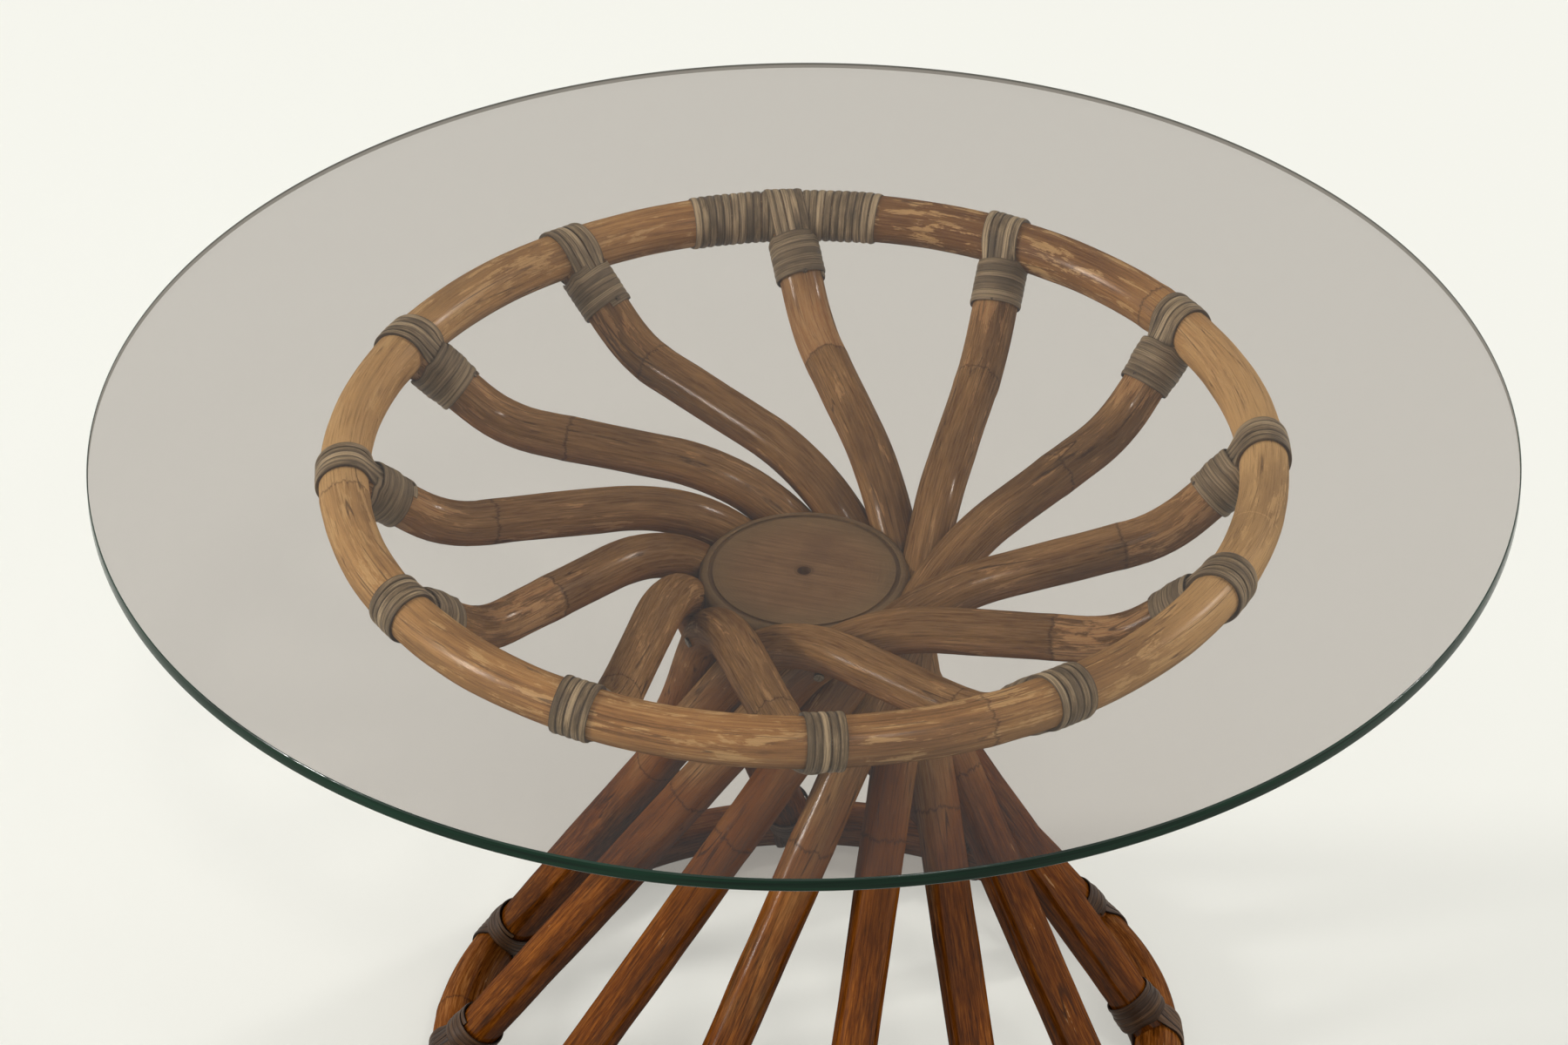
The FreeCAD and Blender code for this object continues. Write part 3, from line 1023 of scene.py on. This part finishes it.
def strapLine(joint, across, shift, lift, legLift, legEnd):
    hoop = joint["hoop"]
    meeting = joint["meeting"]
    axis = joint["axis"]
    through = axis.cross(across)
    middle = hoopPoint(hoop, meeting, across, shift) - meeting
    hoopU = middle.dot(axis)
    hoopV = middle.dot(through)
    reach = hoop["bar"] + lift
    legShift = shift * stripLook["squeeze"]
    rise = math.sqrt((poleLook["radius"] + legLift) ** 2 - legShift ** 2)
    press = stripLook["collarStart"] + stripLook["press"]
    rows = stripLook["legRows"]

    def tangentAngle(v, hand):
        u = press - hoopU
        far = math.hypot(u, v - hoopV)
        return math.atan2(v - hoopV, u) + hand * math.acos(min(reach / far, 1))

    def lean(end, v):
        line = []
        for step in range(1, rows):
            share = step / rows
            spot = (press + (end[0] - press) * share, v + (end[1] - v) * share)
            line.append((*spot, legShift + (shift - legShift) * share))
        return line

    first = tangentAngle(rise, 1)
    last = tangentAngle(-rise, -1) + 2 * math.pi
    leg = [(legEnd + (press - legEnd) * step / rows, rise, legShift) for step in range(rows + 1)]
    arcSteps = stripLook["strapRows"] - 4 * rows
    arc = []
    for step in range(arcSteps + 1):
        angle = first + (last - first) * step / arcSteps
        arc.append((hoopU + reach * math.cos(angle), hoopV + reach * math.sin(angle), shift))
    lead = leg + lean(arc[0], rise)
    trail = lean(arc[-1], -rise)[::-1] + [(u, -v, side) for u, v, side in leg[::-1]]
    places = []
    for index, (u, v, side) in enumerate(lead + arc + trail):
        place = meeting + axis * u + through * v + across * side
        if len(lead) <= index < len(lead) + len(arc):
            near = nearestOnHoop(hoop, place)
            place = near + (place - near).normalized() * reach
        places.append(place)
    return places


def bindJoint(kind, number, flats):
    joint = bindings[kind]
    hoop = joint["hoop"]
    meeting = joint["meeting"]
    axis = joint["axis"]
    turns = joint["turns"]
    chance = random.Random(joint["firstSeed"] + number)
    across = sideOf(axis, upward.cross(Vector((meeting.x, meeting.y, 0))).normalized())
    through = axis.cross(across)
    start = stripLook["collarStart"]
    pitch = stripLook["collarPitch"]
    jitter = stripLook["jitter"]
    legEnd = start + stripLook["legShare"] * turns * pitch
    turn = Matrix.Rotation(poleAzimuth(number), 4, "Z")
    strips = []
    thicknesses = []
    for index in range(stripLook["straps"]):
        wobble = chance.uniform(-1, 1) * jitter
        offset = (index - (stripLook["straps"] - 1) / 2) * stripLook["pitch"] + wobble
        width = stripLook["width"] * chance.uniform(*stripLook["widths"])
        lift = joint["lift"] + chance.uniform(-1, 0) * jitter
        legLift = stripLook["legLift"] + chance.uniform(-1, 0) * jitter
        lines = {}

        def strapPlace(side, along):
            key = round(side, 3)
            if key not in lines:
                crown = stripLook["crown"] * side * side
                shift = offset + side * width / 2
                lines[key] = strapLine(joint, across, shift, lift - crown, legLift - crown, legEnd)
            line = lines[key]
            return aboveFloor(turn @ line[min(round(along * (len(line) - 1)), len(line) - 1)])

        seed = chance.uniform(0, stripLook["grainReach"])
        strips.append(layStrip(flats["strap"], stripLook["strapLength"], strapPlace, seed))
        thicknesses.append(stripLook["thickness"])
    phase = chance.uniform(0, 2 * math.pi)
    sway = newSway(chance)
    flank = stripLook["saddleFlank"]
    pad = stripLook["padFlank"]
    padEnd = stripLook["padEnd"]

    def collarPlace(side, along):
        angle = phase + 2 * math.pi * turns * along
        outward = across * math.cos(angle) + through * math.sin(angle)
        upDown = math.sin(angle)
        drift = swayed(angle, stripLook["swayRates"], sway)
        wound = turns * along + 0.5 + side * stripLook["collarWidth"] / pitch / 2
        # The first turns follow the curve of the hoop above and below the pole
        hollow = (hoop["bar"] + stripLook["saddleGap"]) ** 2 - (poleLook["radius"] * upDown) ** 2
        saddle = (start - math.sqrt(hollow)) * (1 - eased(wound / stripLook["saddleTurns"]))
        saddle *= 1 - flank["share"] * eased((abs(upDown) - flank["from"]) / flank["reach"])
        spot = start + pitch * wound - saddle + drift * jitter
        # The collar stands out where the legs of the strap lie under it
        padded = eased((abs(upDown) - pad["from"]) / pad["reach"])
        padded *= eased((legEnd + padEnd["past"] - spot) / padEnd["reach"])
        reach = poleLook["radius"] + stripLook["collarGap"]
        reach += stripLook["legLift"] * padded + stripLook["collarThickness"]
        reach += stripLook["collarCrown"] * (1 - side * side) - tucked(along, turns) * stripLook["tuck"]
        reach += stripLook["swayRise"] * drift * jitter
        return aboveFloor(turn @ (meeting + axis * spot + outward * reach))

    collarLength = 2 * math.pi * stripLook["collarMean"] * turns
    seed = woundSeed + chance.uniform(0, stripLook["grainReach"])
    strips.append(layStrip(flats[kind], collarLength, collarPlace, seed))
    thicknesses.append(stripLook["collarThickness"])
    piece = joinStrips(strips, thicknesses)
    name = "%sBinding_%02d" % (kind, number)
    node = "%s_binding_%02d" % (kind, number)
    settle(piece, name, joint["finish"], "pedestal", joint["slot"], [node])


def bindJoints():
    flats = {"strap": flatStrip(stripLook["strapRows"])}
    for kind, joint in bindings.items():
        flats[kind] = flatStrip(stripLook["collarRowsPerTurn"] * joint["turns"])
    for number in range(1, poleLook["count"] + 1):
        for kind in bindings:
            bindJoint(kind, number, flats)
    for flat in flats.values():
        takeOut(flat)


bindJoints()
print("joints bound")


# Strips wound over the splice of the top hoop, on both sides of a strap and in under it
spliceLook = {
    "left": {"turns": 11, "from": 0.0075},
    "right": {"turns": 10, "from": -0.0075},
    "lift": 0.0014,
    "thickness": 0.0012,
    "pitch": 0.00465,
    "width": 0.0045,
    "crown": 0.0007,
    "mean": 0.0154,
    "rowsPerTurn": 40,
    "swayRates": (0.3, 0.45),
    "swayRise": 0.4,
    "jitter": 0.0003,
}


def windSplice(side, seed):
    turns = spliceLook[side]["turns"]
    start = spliceLook[side]["from"]
    chance = random.Random(seed)
    flat = flatStrip(spliceLook["rowsPerTurn"] * turns)
    pitch = spliceLook["pitch"]
    if start < 0:
        start -= pitch * turns
    sway = newSway(chance)

    def windPlace(across, along):
        angle = 2 * math.pi * turns * along
        drift = swayed(angle, spliceLook["swayRates"], sway) * spliceLook["jitter"]
        spot = start + pitch * turns * along + across * spliceLook["width"] / 2 + drift
        around = math.radians(topHoop["seam"]) + spot / topHoop["radius"]
        reach = topHoop["bar"] + spliceLook["lift"] - spliceLook["crown"] * across * across
        reach += spliceLook["swayRise"] * drift - tucked(along, turns) * spliceLook["thickness"]
        outward = Vector((math.cos(around), math.sin(around), 0))
        middle = outward * topHoop["radius"] + upward * topHoop["height"]
        return middle + (outward * math.cos(angle) + upward * math.sin(angle)) * reach

    length = 2 * math.pi * spliceLook["mean"] * turns
    strip = layStrip(flat, length, windPlace, chance.uniform(0, stripLook["grainReach"]))
    takeOut(flat)
    piece = joinStrips([strip], [spliceLook["thickness"]])
    settle(piece, "spliceWinding_" + side, stripTop, "pedestal", "split_cane", ["splice_winding_" + side])


windSplice("left", 301)
windSplice("right", 302)
print("splice wound")


# Domed pins near the ends of the upper collars
pinLook = {
    "along": 0.0392,
    "seat": 0.0141,
    "head": 0.0016,
    "dome": 0.0006,
    "domeSteps": ((0.3, 0.5), (0.35, 0.2)),
    "shank": 0.0006,
    "length": 0.006,
    "sides": 16,
    "endFace": 0.9,
}


def selectEnd(pin, hand):
    setMode("EDIT")
    bpy.ops.mesh.select_mode(type="FACE")
    bpy.ops.mesh.select_all(action="DESELECT")
    setMode("OBJECT")
    for face in pin.data.polygons:
        face.select = face.normal.z * hand > pinLook["endFace"]
    setMode("EDIT")


def modelPin():
    deselect()
    bpy.ops.mesh.primitive_cylinder_add(
        vertices=pinLook["sides"],
        radius=pinLook["head"],
        depth=pinLook["dome"],
        location=(0, 0, pinLook["dome"] / 2),
    )
    pin = bpy.context.object
    applyPlace()
    selectEnd(pin, 1)
    for inset, rise in pinLook["domeSteps"]:
        bpy.ops.mesh.inset(thickness=pinLook["head"] * inset)
        bpy.ops.transform.translate(value=(0, 0, pinLook["dome"] * rise))
    selectEnd(pin, -1)
    bpy.ops.mesh.inset(thickness=pinLook["head"] - pinLook["shank"])
    bpy.ops.mesh.extrude_region_move(TRANSFORM_OT_translate={"value": (0, 0, -pinLook["length"])})
    setMode("OBJECT")
    return pin


def setPins():
    master = modelPin()
    outward = sideOf(topAxis, upward)
    lean = outward.to_track_quat("Z", "Y").to_matrix().to_4x4()
    place = poleCorners[0] + topAxis * pinLook["along"] + outward * pinLook["seat"]
    pins = []
    for number in range(1, poleLook["count"] + 1):
        pin = ownCopy(master)
        pin.data.transform(Matrix.Rotation(poleAzimuth(number), 4, "Z") @ Matrix.Translation(place) @ lean)
        pins.append(pin)
    takeOut(master)
    piece = joinAll(pins)
    settle(piece, "domedCollarPins", nailSteel, "pedestal", "nail_steel", ["collar_pins"])


setPins()
print("pins set")


# Glass top with an eased, polished rim
def cutGlass():
    deselect()
    middle = (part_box("glass_top")[0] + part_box("glass_top")[1]) / 2
    bpy.ops.mesh.primitive_cylinder_add(
        vertices=glassLook["segments"],
        radius=glassLook["radius"],
        depth=glassLook["thickness"],
        location=(0, 0, middle.z),
    )
    piece = bpy.context.object
    applyPlace()
    modifier = piece.modifiers.new("ease", "BEVEL")
    modifier.width = glassLook["ease"]
    modifier.segments = glassLook["easeSteps"]
    modifier.limit_method = "ANGLE"
    modifier.angle_limit = math.radians(glassLook["easeAngle"])
    applyModifier(piece, modifier)
    settle(piece, "glassDisc", glassClear, "glass", "glass", ["glass_top"], glassLook["smoothAngle"])
    piece.data.materials.append(glassRim)
    piece.data.materials.append(glassEdge)
    for face in piece.data.polygons:
        if abs(face.normal.z) > glassLook["flatFace"]:
            face.use_smooth = False
        else:
            face.material_index = 1 if abs(face.normal.z) < glassLook["uprightFace"] else 2


cutGlass()
print("glass cut")

# The turned hub and the nails stay as the frame has them, with their finishes
nodeFinishes = {
    "hub_disc": hubWood,
    "waist_nails": nailSteel,
    "top_brads": nailSteel,
    "base_brads": nailSteel,
}
for nodeName, finish in nodeFinishes.items():
    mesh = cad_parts[nodeName].data
    if len(mesh.materials) == 0:
        mesh.materials.append(finish)
    for index in range(len(mesh.materials)):
        mesh.materials[index] = finish
print("hub and nails finished")

# Plain pale floor and soft studio light
studio = {
    "floor": paint(243, 243, 235),
    "floorBounce": (0.34, 0.33, 0.31, 1),
    "floorGlow": 0.42,
    "floorRough": 0.9,
    "floorSize": 30.0,
    "sky": (1.0, 1.0, 1.0, 1),
    "flagToward": (0, 0.815, 0.58),
    "skyToFlag": (0.87, 0.975, 0.69, 0.28),
    "lamps": {
        "leftKey": {"place": (-8.5, -1.8, 3.8), "size": 1.8, "power": 450.0},
        "rightKey": {"place": (8.2, 2.6, 5.4), "size": 1.2, "power": 250.0},
        "frontLamp": {"place": (2.4, -6.5, 8.0), "size": 1.0, "power": 120.0},
    },
    "aim": (0, 0, 0.2),
    "lampColour": (1.0, 0.99, 0.975),
}


def layFloor():
    deselect()
    bpy.ops.mesh.primitive_plane_add(size=studio["floorSize"], location=(0, 0, 0))
    floor = bpy.context.object
    floor.name = "studioFloor"
    finish, tree, shader = newFinish("paleFloor")
    # The table sees a duller floor than the camera does, so the undersides stay in shade
    path = tree.nodes.new("ShaderNodeLightPath").outputs
    mirrored = sums(tree, "MAXIMUM", path["Is Glossy Ray"], path["Is Transmission Ray"])
    seen = sums(tree, "MAXIMUM", path["Is Camera Ray"], mirrored)
    lit = [channel * (1 - studio["floorGlow"]) for channel in studio["floor"][:3]] + [1]
    dress(tree, shader, mix(tree, seen, studio["floorBounce"], lit), studio["floorRough"], 0.0)
    shader.inputs["Emission Color"].default_value = studio["floor"]
    plug(tree, shader.inputs["Emission Strength"], times(tree, seen, studio["floorGlow"]))
    floor.data.materials.append(finish)


def lightStudio():
    world = bpy.data.worlds.new("studioWorld")
    world.use_nodes = True
    tree = world.node_tree
    tree.nodes.clear()
    soft = tree.nodes.new("ShaderNodeBackground")
    soft.inputs["Color"].default_value = studio["sky"]
    # A grey flag behind the table keeps the glass from mirroring the sky
    toward = tree.nodes.new("ShaderNodeTexCoord").outputs["Generated"]
    facing = tree.nodes.new("ShaderNodeVectorMath")
    facing.operation = "DOT_PRODUCT"
    tree.links.new(toward, facing.inputs[0])
    facing.inputs[1].default_value = studio["flagToward"]
    plug(tree, soft.inputs["Strength"], span(tree, facing.outputs["Value"], *studio["skyToFlag"]))
    output = tree.nodes.new("ShaderNodeOutputWorld")
    tree.links.new(soft.outputs["Background"], output.inputs["Surface"])
    bpy.context.scene.world = world
    for name, lamp in studio["lamps"].items():
        deselect()
        bpy.ops.object.light_add(type="AREA", location=lamp["place"])
        light = bpy.context.object
        light.name = name
        light.data.shape = "DISK"
        light.data.size = lamp["size"]
        light.data.energy = lamp["power"]
        light.data.color = studio["lampColour"]
        aim = Vector(studio["aim"]) - Vector(lamp["place"])
        light.rotation_euler = aim.to_track_quat("-Z", "Y").to_euler()


layFloor()
lightStudio()
bpy.context.scene.view_settings.view_transform = "Standard"
print("studio lit")
